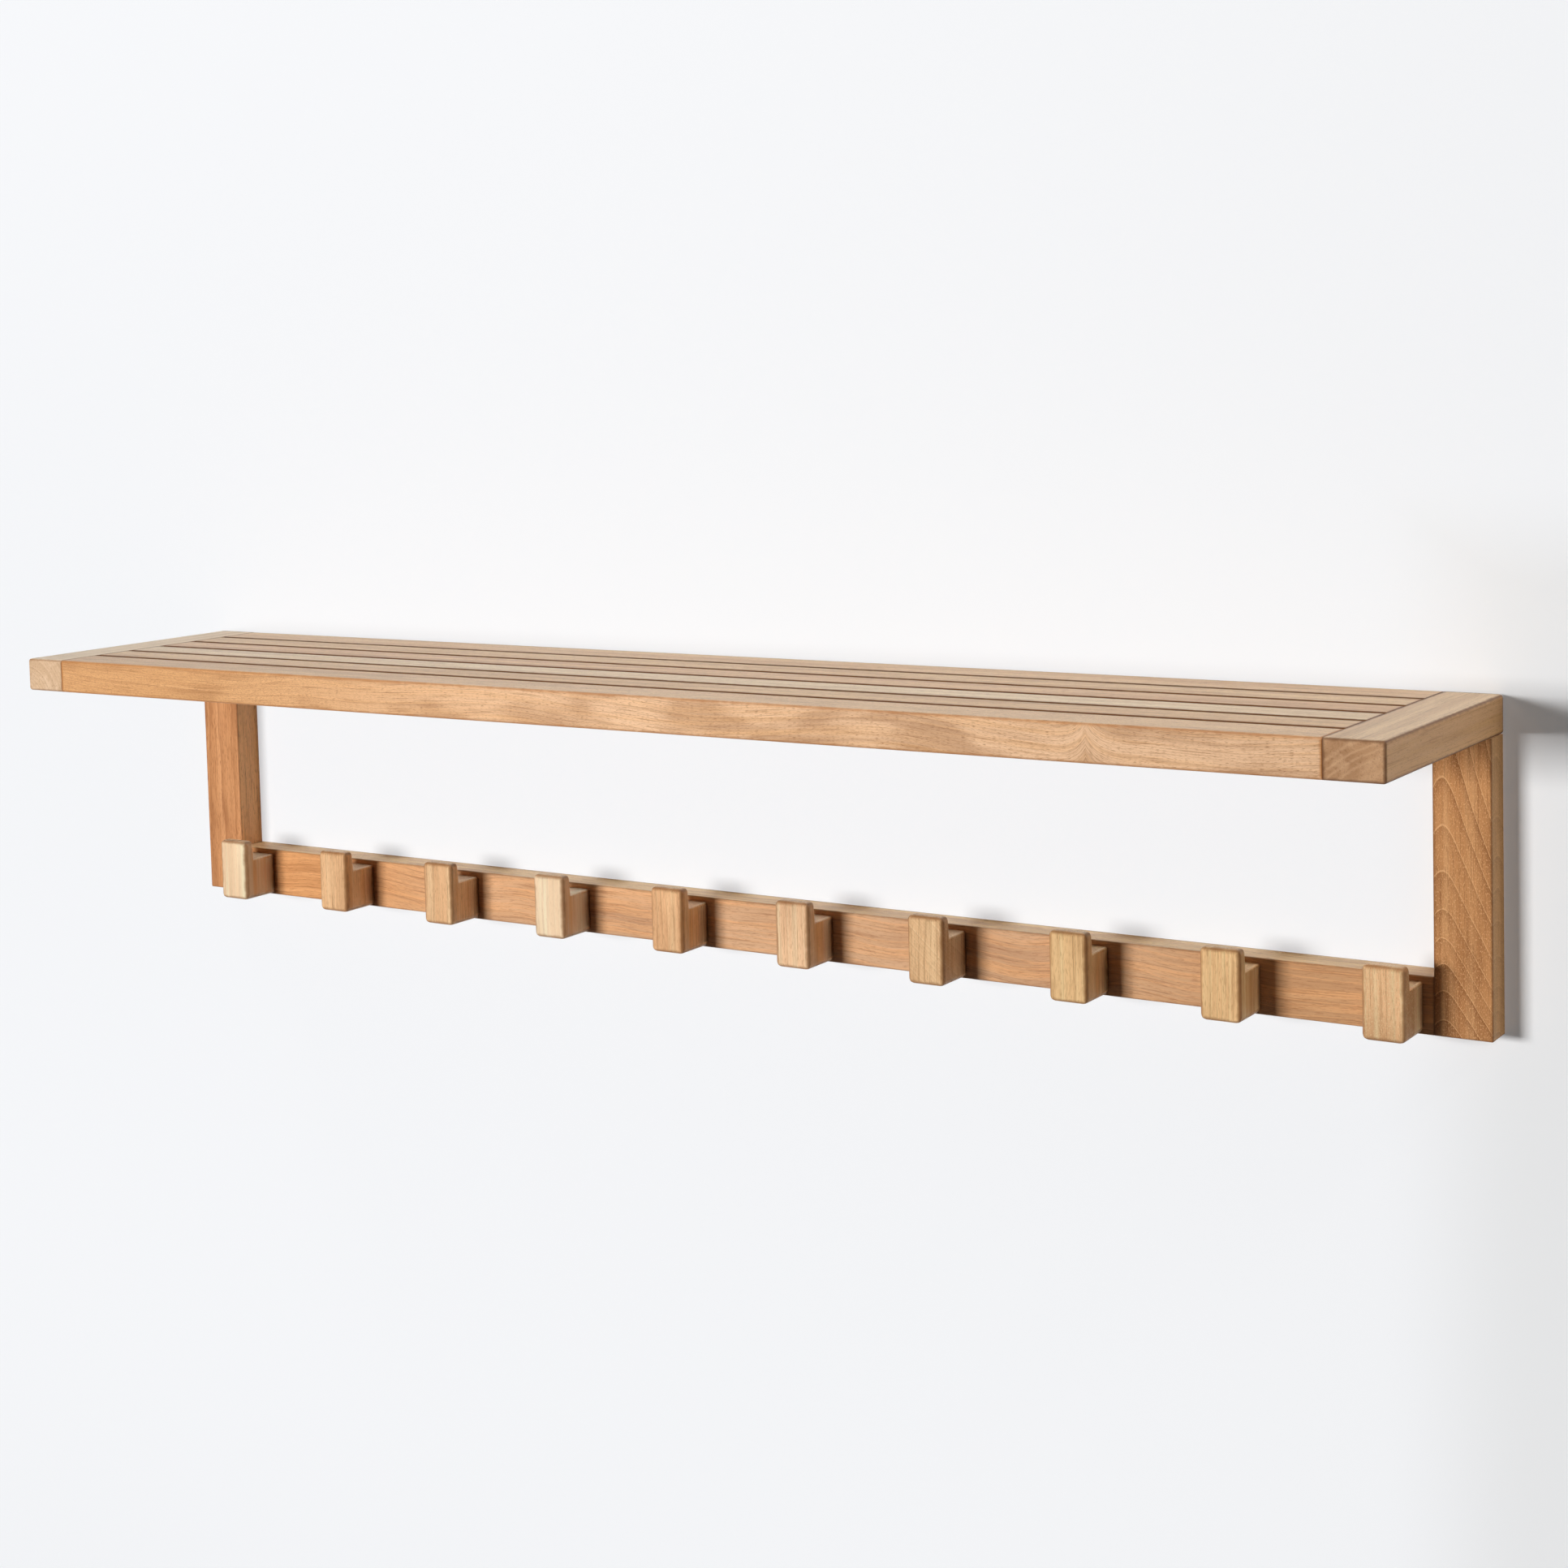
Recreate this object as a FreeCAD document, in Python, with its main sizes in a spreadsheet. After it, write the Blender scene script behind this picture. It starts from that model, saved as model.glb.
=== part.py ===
import FreeCAD, Part
import os
import re
import Sketcher

# Wall shelf with a hook rail, in teak, hung on two keyhole plates.
# Frame: X along the wall, Y into the wall, Z up, millimetres. The origin lies on
# the wall plane, midway between the entry holes of the two keyhole plates.

sizes = {
    # the whole
    "overall_width": 1200,
    "overall_depth": 230,
    "overall_height": 235,
    # shelf frame
    "board_thickness": 27,          # end boards, front rail and back rail
    "end_board_width": 41,
    "frame_rail_width": 38,
    "slot_width": 5,
    "slat_thickness": 18,
    "slat_count": 4,
    # wall frame
    "upright_width": 41,
    "upright_thickness": 26,
    "hook_rail_height": 41,
    # joints
    "tenon_length": 20,
    "tenon_thickness": 9,
    "tenon_shoulder": 4,            # wood left beside a tenon, each side
    "tenon_height": 17,             # upright's tenon, up into the end board
    "joint_clearance": 0.1,
    "joint_end_room": 1,
    # edges
    "outer_round": 2.5,
    "board_round": 1.2,
    "joint_arris": 0.3,
    # hooks
    "hook_count": 10,
    "hook_end_gap": 23.5,           # middle of the end hook to the upright beside it
    "hook_width": 31,
    "hook_projection": 36,
    "hook_lip_foot": 11.2,          # lip thickness at the notch floor
    "hook_lip_top": 9.7,
    "hook_rise": 12.7,              # lip above the rail's top
    "hook_notch_drop": 4,           # notch floor below the rail's top
    "hook_foot_inset": 1,           # hook's underside above the rail's underside
    "hook_nose_round": 3.2,
    "hook_side_round_share": 0.75,  # side rounding over nose rounding
    # screws from the rail's back into the hooks
    "hook_screw_spacing": 16,
    "hook_screw_radius": 2,
    "hook_screw_grip": 24,          # length in the hook
    "hook_screw_head_radius": 4,
    "hook_screw_head_height": 3,
    "hook_screw_sunk": 2,           # head below the rail's back
    "screw_clearance": 0.25,
    "thread_clearance": 0.05,
    "screw_point": 4,               # length of the pointed end
    # keyhole plates
    "hanger_width": 18,
    "hanger_height": 58,
    "hanger_thickness": 2,
    "hanger_corner_share": 0.33,    # corner radius over plate width
    "hanger_margin": 6.375,         # upright's wood above the plate
    "hanger_entry_radius": 5,
    "hanger_slot_radius": 2.25,
    "hanger_slot_rise": 10,
    "hanger_room_margin": 2.5,      # pocket for the wall screw's head, round the keyhole
    "hanger_room_depth": 9,
    "hanger_screw_inset": 7,        # screw to the plate's end
    "hanger_screw_radius": 1.75,
    "hanger_screw_length": 16,
    "hanger_land": 0.25,            # straight wall under the plate's countersinks
    "hanger_clearance": 0.2,
}

# Sizes that follow from the ones above.
derived = {
    "between_end_boards": "overall_width - 2 * end_board_width",
    "between_uprights": "overall_width - 2 * upright_width",
    "slat_width": "(overall_depth - 2 * frame_rail_width - (slat_count + 1) * slot_width) / slat_count",
    "slat_pitch": "slat_width + slot_width",
    "upright_length": "overall_height - board_thickness",
    "end_board_middle": "(overall_width - end_board_width) / 2",
    "upright_middle": "(overall_width - upright_width) / 2",
    "upright_tenon_width": "end_board_width - tenon_length - 2 * tenon_shoulder",
    "mortise_depth": "tenon_length + joint_end_room",
    "hook_height": "hook_rail_height - hook_foot_inset + hook_rise",
    "hook_seat_height": "hook_rail_height - hook_foot_inset - hook_notch_drop",
    "hook_side_round": "hook_nose_round * hook_side_round_share",
    "hook_pitch": "(between_uprights - 2 * hook_end_gap) / (hook_count - 1)",
    "first_hook": "hook_end_gap - between_uprights / 2",
    "screw_bore_depth": "hook_screw_sunk + hook_screw_head_height",
    "hook_screw_length": "upright_thickness - hook_screw_sunk + hook_screw_grip",
    "keyhole_height": "hanger_entry_radius + hanger_slot_rise + hanger_slot_radius",
    "hanger_shift": "keyhole_height / 2 - hanger_entry_radius",
    "hanger_corner": "hanger_width * hanger_corner_share",
    "hanger_screw_spacing": "hanger_height - 2 * hanger_screw_inset",
    "hanger_sink": "hanger_thickness - hanger_land",
    "shelf_top": "board_thickness + hanger_margin + hanger_height / 2 + hanger_shift",
    "rail_bottom": "shelf_top - overall_height",
    "hook_bottom": "rail_bottom + hook_foot_inset",
}

# Two faces or edges nearer than this share of a piece's size count as one plane.
flatness_share = 1e-6

doc = FreeCAD.newDocument("wall_shelf_with_hooks")
sheet = doc.addObject("Spreadsheet::Sheet", "Sizes")
for row, (alias, value) in enumerate(sizes.items(), start=1):
    sheet.set("A%d" % row, alias)
    sheet.set("B%d" % row, str(value))
    sheet.setAlias("B%d" % row, alias)
doc.recompute()


def formula(text):
    """Spell out a formula in named sizes as an expression on the sheet."""
    def spell(found):
        word = found.group()
        if word in derived:
            return "(" + formula(derived[word]) + ")"
        if word not in sizes:
            raise KeyError("no size is called " + word)
        return "Sizes." + word
    return re.sub(r"[a-z][a-z_]*", spell, text)


def bind(item, path, text):
    item.setExpression(path, formula(text))


def bind_place(item, path, shift):
    for axis, text in zip("xyz", shift):
        if text != "0":
            bind(item, path + axis, text)


def origin_feature(body, role):
    return next(part for part in body.Origin.OriginFeatures if part.Role == role)


def new_body(label, right, back, up):
    """A body whose own origin stands at the given place in the shelf."""
    body = doc.addObject("PartDesign::Body", label)
    body.Label = label
    bind_place(body, "Placement.Base.", (right, back, up))
    return body


def new_sketch(body, name, plane, shift):
    """A sketch on one of the body's origin planes, shifted along the plane's own axes."""
    sketch = body.newObject("Sketcher::SketchObject", name)
    sketch.AttachmentSupport = [(origin_feature(body, plane), "")]
    sketch.MapMode = "FlatFace"
    bind_place(sketch, "AttachmentOffset.Base.", shift)
    return sketch


def constrain(sketch, kind, *arguments, name=None, text=None):
    index = sketch.addConstraint(Sketcher.Constraint(kind, *arguments))
    if name:
        sketch.renameConstraint(index, name)
        bind(sketch, "Constraints." + name, text)


def polygon(sketch, points):
    """Closed outline through unit points; the caller constrains its corners."""
    corners = [FreeCAD.Vector(x, y, 0) for x, y in points]
    count = len(corners)
    for index in range(count):
        sketch.addGeometry(Part.LineSegment(corners[index], corners[(index + 1) % count]), False)
    for index in range(count):
        constrain(sketch, "Coincident", index, 2, (index + 1) % count, 1)


def rectangle(body, name, plane, across, upward, shift=("0", "0", "0")):
    """A rectangle centred on the sketch's origin."""
    sketch = new_sketch(body, name, plane, shift)
    polygon(sketch, [(-1, -1), (1, -1), (1, 1), (-1, 1)])
    for line in (0, 2):
        constrain(sketch, "Horizontal", line)
    for line in (1, 3):
        constrain(sketch, "Vertical", line)
    constrain(sketch, "Symmetric", 0, 1, 2, 1, -1, 1)
    constrain(sketch, "DistanceX", 0, 1, 0, 2, 1, name="across", text=across)
    constrain(sketch, "DistanceY", 1, 1, 1, 2, 1, name="upward", text=upward)
    return sketch


def circle(body, name, plane, radius, shift=("0", "0", "0")):
    """A circle centred on the sketch's origin."""
    sketch = new_sketch(body, name, plane, shift)
    sketch.addGeometry(Part.Circle(FreeCAD.Vector(), FreeCAD.Vector(0, 0, 1), 1), False)
    constrain(sketch, "Coincident", 0, 3, -1, 1)
    constrain(sketch, "Radius", 0, 1, name="radius", text=radius)
    return sketch


def pad(body, name, sketch, length, reversed_way=False):
    feature = body.newObject("PartDesign::Pad", name)
    feature.Profile = sketch
    feature.Reversed = reversed_way
    bind(feature, "Length", length)
    doc.recompute()
    return feature


def pocket(body, name, sketch, length, reversed_way=False):
    """Cut the sketch into the body, and make sure that it removes wood or steel."""
    before = body.Shape.Volume
    feature = body.newObject("PartDesign::Pocket", name)
    feature.Profile = sketch
    feature.Reversed = reversed_way
    bind(feature, "Length", length)
    doc.recompute()
    if body.Shape.Volume >= before:
        raise RuntimeError(name + " cuts nothing")
    return feature


def spread(body, name, feature, axis, span, count):
    """Repeat a feature along one of the body's axes, over the span, count times."""
    pattern = body.newObject("PartDesign::LinearPattern", name)
    pattern.Originals = [feature]
    pattern.Direction = (origin_feature(body, axis), [""])
    bind(pattern, "Length", span)
    bind(pattern, "Occurrences", count)
    body.Tip = pattern
    doc.recompute()
    return pattern


def edges_where(feature, test):
    edges = enumerate(feature.Shape.Edges, start=1)
    return ["Edge%d" % number for number, edge in edges if test(edge)]


def lies_at(edge, side, feature):
    """True where the whole edge lies on one side, such as YMin, of the feature's box."""
    low = getattr(edge.BoundBox, side[0] + "Min")
    high = getattr(edge.BoundBox, side[0] + "Max")
    limit = getattr(feature.Shape.BoundBox, side)
    near = feature.Shape.BoundBox.DiagonalLength * flatness_share
    return abs(low - limit) < near and abs(high - limit) < near


def lies_on(edge, feature, *sides):
    return all(lies_at(edge, side, feature) for side in sides)


def on_any(feature, corners):
    """A test for the edges where two sides of the feature's box meet."""
    return lambda edge: any(lies_on(edge, feature, *corner) for corner in corners)


def dress(body, kind, name, feature, size_path, size, test):
    """Round or bevel the edges of the feature that pass the test."""
    dressing = body.newObject("PartDesign::" + kind, name)
    dressing.Base = (feature, edges_where(feature, test))
    bind(dressing, size_path, size)
    doc.recompute()
    return dressing


def round_edges(body, name, feature, radius, test):
    return dress(body, "Fillet", name, feature, "Radius", radius, test)


def bevel_edges(body, name, feature, size, test):
    return dress(body, "Chamfer", name, feature, "Size", size, test)


def end_board(label, side):
    """Runs from the front edge to the wall, with end grain showing at the front."""
    outer, inner = ("XMax", "XMin") if side > 0 else ("XMin", "XMax")
    body = new_body(label, "%d * end_board_middle" % side, "0", "shelf_top")
    plan = rectangle(body, "plan", "XY_Plane", "end_board_width", "overall_depth",
                     ("0", "-overall_depth / 2", "0"))
    board = pad(body, "board", plan, "board_thickness", reversed_way=True)
    corners = [(outer, "ZMax"), (outer, "ZMin"), (outer, "YMin"), ("YMin", "ZMax"), ("YMin", "ZMin")]
    worn = round_edges(body, "outer_edges", board, "outer_round", on_any(board, corners))
    bevel_edges(body, "joint_edge", worn, "joint_arris",
                lambda edge: lies_on(edge, worn, inner) and not lies_on(edge, worn, "YMax"))
    # mortises for the rails and slats, from the inner side
    face = "%d * end_board_width / 2" % -side
    rail_places = {"front": "-(overall_depth - frame_rail_width / 2)", "back": "-frame_rail_width / 2"}
    for which, middle in rail_places.items():
        mouth = rectangle(body, which + "_mortise_mouth", "YZ_Plane",
                          "frame_rail_width - 2 * tenon_shoulder + 2 * joint_clearance",
                          "tenon_thickness + 2 * joint_clearance", (middle, "-board_thickness / 2", face))
        pocket(body, which + "_mortise", mouth, "mortise_depth", reversed_way=side > 0)
    mouth = rectangle(body, "slat_mortise_mouth", "YZ_Plane",
                      "slat_width - 2 * tenon_shoulder + 2 * joint_clearance",
                      "tenon_thickness + 2 * joint_clearance",
                      ("-(overall_depth - frame_rail_width - slot_width - slat_width / 2)",
                       "-slat_thickness / 2", face))
    mortise = pocket(body, "slat_mortise", mouth, "mortise_depth", reversed_way=side > 0)
    spread(body, "slat_mortises", mortise, "Y_Axis", "(slat_count - 1) * slat_pitch", "slat_count")
    # mortise for the upright's tenon, from below, in the wood outside the rail's tenon
    mouth = rectangle(body, "upright_mortise_mouth", "XY_Plane",
                      "upright_tenon_width + 2 * joint_clearance",
                      "tenon_thickness + 2 * joint_clearance",
                      ("%d * (end_board_width - upright_tenon_width - 2 * tenon_shoulder) / 2" % side,
                       "-upright_thickness / 2", "-board_thickness"))
    pocket(body, "upright_mortise", mouth, "tenon_height + joint_end_room", reversed_way=True)
    return body


def shelf_board(label, width, thickness, middle, shelf_front=False):
    """A rail or slat between the end boards, with a tenon on each end."""
    body = new_body(label, "0", middle, "shelf_top")
    section = rectangle(body, "section", "YZ_Plane", width, thickness,
                        ("0", "-%s / 2" % thickness, "-between_end_boards / 2"))
    board = pad(body, "board", section, "between_end_boards")
    front_corners = [("YMin", "ZMax"), ("YMin", "ZMin")]
    back_corners = [("YMax", "ZMax"), ("YMax", "ZMin")]
    front_round = "outer_round" if shelf_front else "board_round"
    board = round_edges(body, "front_edges", board, front_round, on_any(board, front_corners))
    eased = round_edges(body, "back_edges", board, "board_round", on_any(board, back_corners))
    bevel_edges(body, "joint_edges", eased, "joint_arris",
                lambda edge: lies_on(edge, eased, "XMin") or lies_on(edge, eased, "XMax"))
    core = rectangle(body, "tenon_section", "YZ_Plane", width + " - 2 * tenon_shoulder",
                     "tenon_thickness",
                     ("0", "-%s / 2" % thickness, "-(between_end_boards / 2 + tenon_length)"))
    pad(body, "tenons", core, "between_end_boards + 2 * tenon_length")
    return body


def upright(label, side):
    """Stands flat on the wall under the end board and carries it on a tenon."""
    outer, inner = ("XMax", "XMin") if side > 0 else ("XMin", "XMax")
    body = new_body(label, "%d * upright_middle" % side, "0", "shelf_top - board_thickness")
    plan = rectangle(body, "plan", "XY_Plane", "upright_width", "upright_thickness",
                     ("0", "-upright_thickness / 2", "0"))
    post = pad(body, "post", plan, "upright_length", reversed_way=True)
    corners = [(outer, "YMin"), (outer, "ZMin"), ("YMin", "ZMin"), (outer, "YMax")]
    worn = round_edges(body, "outer_edges", post, "board_round", on_any(post, corners))
    bevel_edges(body, "inner_edge", worn, "joint_arris",
                lambda edge: lies_on(edge, worn, inner, "YMin"))
    # tenon up into the end board
    root = rectangle(body, "tenon_section", "XY_Plane", "upright_tenon_width", "tenon_thickness",
                     ("%d * (upright_width - upright_tenon_width - 2 * tenon_shoulder) / 2" % side,
                      "-upright_thickness / 2", "0"))
    pad(body, "tenon", root, "tenon_height")
    # mortise for the hook rail's tenon
    mouth = rectangle(body, "rail_mortise_mouth", "YZ_Plane", "tenon_thickness + 2 * joint_clearance",
                      "hook_rail_height - 2 * tenon_shoulder + 2 * joint_clearance",
                      ("-upright_thickness / 2", "hook_rail_height / 2 - upright_length",
                       "%d * upright_width / 2" % -side))
    pocket(body, "rail_mortise", mouth, "mortise_depth", reversed_way=side > 0)
    # recess and head pocket for the keyhole plate, and the pilots for its screws
    plate_level = "-(hanger_margin + hanger_height / 2)"
    mouth = rectangle(body, "plate_recess_mouth", "XZ_Plane", "hanger_width + 2 * hanger_clearance",
                      "hanger_height + 2 * hanger_clearance", ("0", plate_level, "0"))
    recess = pocket(body, "plate_recess", mouth, "hanger_thickness", reversed_way=True)
    round_edges(body, "plate_recess_corners", recess, "hanger_corner",
                lambda edge: is_recess_corner(edge, recess))
    mouth = rectangle(body, "head_room_mouth", "XZ_Plane",
                      "2 * (hanger_entry_radius + hanger_room_margin)",
                      "keyhole_height + 2 * hanger_room_margin", ("0", plate_level, "0"))
    pocket(body, "head_room", mouth, "hanger_room_depth", reversed_way=True)
    mouth = circle(body, "pilot_mouth", "XZ_Plane", "hanger_screw_radius + thread_clearance",
                   ("0", plate_level + " - hanger_screw_spacing / 2", "0"))
    pilot = pocket(body, "pilot", mouth, "hanger_screw_length + joint_end_room", reversed_way=True)
    spread(body, "pilots", pilot, "Z_Axis", "hanger_screw_spacing", "2")
    return body


def is_recess_corner(edge, feature):
    """An edge that runs straight in from the wall face, inside the upright's outline."""
    box, whole = edge.BoundBox, feature.Shape.BoundBox
    near = whole.DiagonalLength * flatness_share
    straight_in = box.XLength < near and box.ZLength < near
    starts_at_wall = abs(box.YMax - whole.YMax) < near
    off_the_sides = whole.XMin + near < box.XMin and box.XMax < whole.XMax - near
    off_the_foot = box.ZMin > whole.ZMin + near
    return straight_in and starts_at_wall and off_the_sides and off_the_foot


def hook_rail(label):
    """The bar between the uprights that carries the hooks."""
    body = new_body(label, "0", "0", "rail_bottom")
    section = rectangle(body, "section", "YZ_Plane", "upright_thickness", "hook_rail_height",
                        ("-upright_thickness / 2", "hook_rail_height / 2", "-between_uprights / 2"))
    bar = pad(body, "bar", section, "between_uprights")
    eased = round_edges(body, "eased_edges", bar, "board_round",
                        on_any(bar, [("YMin", "ZMax"), ("YMin", "ZMin")]))
    bevel_edges(body, "joint_edges", eased, "joint_arris",
                lambda edge: (lies_on(edge, eased, "XMin") or lies_on(edge, eased, "XMax"))
                and not lies_on(edge, eased, "YMax"))
    core = rectangle(body, "tenon_section", "YZ_Plane", "tenon_thickness",
                     "hook_rail_height - 2 * tenon_shoulder",
                     ("-upright_thickness / 2", "hook_rail_height / 2",
                      "-(between_uprights / 2 + tenon_length)"))
    pad(body, "tenons", core, "between_uprights + 2 * tenon_length")
    # two clearance holes with a counterbore behind every hook
    for which, sign in (("lower", "-"), ("upper", "+")):
        level = "hook_foot_inset + hook_seat_height / 2 %s hook_screw_spacing / 2" % sign
        for kind, radius, depth in (("hole", "hook_screw_radius", "upright_thickness"),
                                    ("bore", "hook_screw_head_radius", "screw_bore_depth")):
            name = which + "_" + kind
            mouth = circle(body, name + "_mouth", "XZ_Plane", radius + " + screw_clearance",
                           ("first_hook", level, "0"))
            drilled = pocket(body, name, mouth, depth, reversed_way=True)
            spread(body, name + "s", drilled, "X_Axis", "(hook_count - 1) * hook_pitch", "hook_count")
    return body


def hook(label, number):
    """An L-shaped block: a seat on the rail's face and a lip in front of the notch."""
    body = new_body(label, "first_hook + %d * hook_pitch" % number, "-upright_thickness", "hook_bottom")
    side_view = new_sketch(body, "side_view", "YZ_Plane", ("0", "0", "-hook_width / 2"))
    polygon(side_view, [(0, 0), (0, 2), (-1, 2), (-2, 3), (-3, 3), (-3, 0)])
    for line in (1, 3, 5):
        constrain(side_view, "Horizontal", line)
    for line in (0, 4):
        constrain(side_view, "Vertical", line)
    constrain(side_view, "Coincident", 0, 1, -1, 1)
    constrain(side_view, "DistanceY", 0, 1, 0, 2, 1, name="seat_height", text="hook_seat_height")
    constrain(side_view, "DistanceY", 4, 2, 4, 1, 1, name="full_height", text="hook_height")
    constrain(side_view, "DistanceX", 5, 1, 5, 2, 1, name="projection", text="hook_projection")
    constrain(side_view, "DistanceX", 3, 2, 3, 1, 1, name="lip_top", text="hook_lip_top")
    constrain(side_view, "DistanceX", 4, 2, 2, 1, 1, name="lip_foot", text="hook_lip_foot")
    block = pad(body, "block", side_view, "hook_width")
    nose = round_edges(
        body, "nose_edges", block, "hook_nose_round",
        lambda edge: edge.BoundBox.XLength > edge.BoundBox.DiagonalLength / 2
        and (lies_on(edge, block, "YMin") or lies_on(edge, block, "ZMax")))
    round_edges(body, "side_edges", nose, "hook_side_round",
                lambda edge: (lies_on(edge, nose, "XMin") or lies_on(edge, nose, "XMax"))
                and not lies_on(edge, nose, "YMax"))
    mouth = circle(body, "pilot_mouth", "XZ_Plane", "hook_screw_radius + thread_clearance",
                   ("0", "hook_seat_height / 2 - hook_screw_spacing / 2", "0"))
    pilot = pocket(body, "pilot", mouth, "hook_screw_grip + joint_end_room", reversed_way=True)
    spread(body, "pilots", pilot, "Z_Axis", "hook_screw_spacing", "2")
    return body


def screw_profile(body, shank_radius, head_radius, head_height, length, cone_head):
    """Half the screw's outline: right is outwards, down is towards the point."""
    sketch = new_sketch(body, "half_outline", "XY_Plane", ("0", "0", "0"))
    if cone_head:
        polygon(sketch, [(0, 0), (2, 0), (1, -1), (1, -3), (0, -4)])
        shank_line, end_line = 2, 4
    else:
        polygon(sketch, [(0, 0), (2, 0), (2, -1), (1, -1), (1, -3), (0, -4)])
        constrain(sketch, "Vertical", 1)
        constrain(sketch, "Horizontal", 2)
        shank_line, end_line = 3, 5
    constrain(sketch, "Coincident", 0, 1, -1, 1)
    constrain(sketch, "Horizontal", 0)
    constrain(sketch, "Vertical", shank_line)
    constrain(sketch, "Vertical", end_line)
    constrain(sketch, "DistanceX", 0, 1, 0, 2, 1, name="head_radius", text=head_radius)
    constrain(sketch, "DistanceX", end_line, 1, shank_line, 2, 1, name="shank_radius", text=shank_radius)
    constrain(sketch, "DistanceY", shank_line, 1, 0, 1, 1, name="head_height", text=head_height)
    constrain(sketch, "DistanceY", end_line, 1, 0, 1, 1, name="full_length", text=length)
    constrain(sketch, "DistanceY", end_line, 1, shank_line, 2, 1, name="point", text="screw_point")
    return sketch


def screw_group(label, corner, outline, across, rows):
    """Identical screws on a grid: a first one at the corner, then along X and up Z."""
    body = new_body(label, *corner)
    body.AllowCompound = True
    sketch = screw_profile(body, *outline)
    screw = body.newObject("PartDesign::Revolution", "screw")
    screw.Profile = sketch
    screw.ReferenceAxis = (sketch, ["V_Axis"])
    screw.Angle = 360
    doc.recompute()
    grid = body.newObject("PartDesign::MultiTransform", "grid")
    grid.Originals = [screw]
    steps = []
    for name, axis, (span, count) in (("along", "X_Axis", across), ("up", "Z_Axis", rows)):
        step = body.newObject("PartDesign::LinearPattern", name)
        step.Direction = (origin_feature(body, axis), [""])
        bind(step, "Length", span)
        bind(step, "Occurrences", count)
        steps.append(step)
    grid.Transformations = steps
    body.Tip = grid
    doc.recompute()
    return body


def hanger_plate(label, side):
    """Steel keyhole plate, let in flush with the upright's back."""
    body = new_body(label, "%d * upright_middle" % side, "0", "hanger_shift")
    outline = rectangle(body, "outline", "XZ_Plane", "hanger_width", "hanger_height")
    plate = pad(body, "plate", outline, "hanger_thickness")
    round_edges(body, "corners", plate, "hanger_corner",
                lambda edge: (lies_on(edge, plate, "XMin") or lies_on(edge, plate, "XMax"))
                and edge.BoundBox.YLength > edge.BoundBox.DiagonalLength / 2)
    entry = circle(body, "entry_mouth", "XZ_Plane", "hanger_entry_radius", ("0", "-hanger_shift", "0"))
    pocket(body, "entry", entry, "hanger_thickness", reversed_way=True)
    slot = rectangle(body, "slot_mouth", "XZ_Plane", "2 * hanger_slot_radius", "hanger_slot_rise",
                     ("0", "hanger_slot_rise / 2 - hanger_shift", "0"))
    pocket(body, "slot", slot, "hanger_thickness", reversed_way=True)
    seat = circle(body, "slot_end_mouth", "XZ_Plane", "hanger_slot_radius",
                  ("0", "hanger_slot_rise - hanger_shift", "0"))
    pocket(body, "slot_end", seat, "hanger_thickness", reversed_way=True)
    for which, sign in (("lower", "-"), ("upper", "")):
        mouth = circle(body, which + "_screw_mouth", "XZ_Plane", "hanger_screw_radius + thread_clearance",
                       ("0", sign + "hanger_screw_spacing / 2", "0"))
        hole = pocket(body, which + "_screw_hole", mouth, "hanger_thickness", reversed_way=True)
        bevel_edges(body, which + "_countersink", hole, "hanger_sink",
                    lambda edge: is_hole_rim(edge, hole, which))
    return body


def is_hole_rim(edge, feature, which):
    """The wall-side rim of the plate's lower or upper screw hole; a keyhole's arcs are open."""
    if not edge.isClosed() or not lies_on(edge, feature, "YMax"):
        return False
    box, whole = edge.BoundBox, feature.Shape.BoundBox
    above = box.ZMin + box.ZMax > whole.ZMin + whole.ZMax
    return above == (which == "upper")


pieces = []
for side_name, side in (("left", -1), ("right", 1)):
    pieces.append(end_board("end_board_" + side_name, side))
    pieces.append(upright("upright_" + side_name, side))
    pieces.append(hanger_plate("hanger_plate_" + side_name, side))

pieces.append(shelf_board("front_rail", "frame_rail_width", "board_thickness",
                          "-(overall_depth - frame_rail_width / 2)", shelf_front=True))
for number in range(sizes["slat_count"]):
    pieces.append(shelf_board(
        "slat_%d" % (number + 1), "slat_width", "slat_thickness",
        "-(overall_depth - frame_rail_width - slot_width - slat_width / 2) + %d * slat_pitch" % number))
pieces.append(shelf_board("back_rail", "frame_rail_width", "board_thickness", "-frame_rail_width / 2"))

pieces.append(hook_rail("hook_rail"))
for number in range(sizes["hook_count"]):
    pieces.append(hook("hook_%02d" % (number + 1), number))

pieces.append(screw_group(
    "hook_screws",
    ("first_hook", "-hook_screw_sunk", "hook_bottom + hook_seat_height / 2 - hook_screw_spacing / 2"),
    ("hook_screw_radius", "hook_screw_head_radius", "hook_screw_head_height", "hook_screw_length", False),
    ("(hook_count - 1) * hook_pitch", "hook_count"),
    ("hook_screw_spacing", "2")))
pieces.append(screw_group(
    "hanger_screws",
    ("-upright_middle", "0", "hanger_shift - hanger_screw_spacing / 2"),
    ("hanger_screw_radius", "hanger_screw_radius + hanger_sink", "hanger_sink",
     "hanger_screw_length", True),
    ("2 * upright_middle", "2"),
    ("hanger_screw_spacing", "2")))

doc.recompute()
for item in doc.Objects:
    if "Invalid" in item.State or "Error" in item.State:
        raise RuntimeError("%s did not build: %s" % (item.Label, item.State))

os.makedirs("parts", exist_ok=True)
for piece in pieces:
    shape = piece.Shape
    if shape.isNull() or not shape.isValid():
        raise RuntimeError(piece.Label + " has no valid shape")
for piece in pieces:
    piece.Shape.exportStep("parts/%s.step" % piece.Label)
    print("%-20s %2d solid(s) %10.1f mm3" % (piece.Label, len(piece.Shape.Solids), piece.Shape.Volume))
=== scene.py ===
import bpy
import math
from mathutils import Euler, Matrix, Vector


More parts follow.
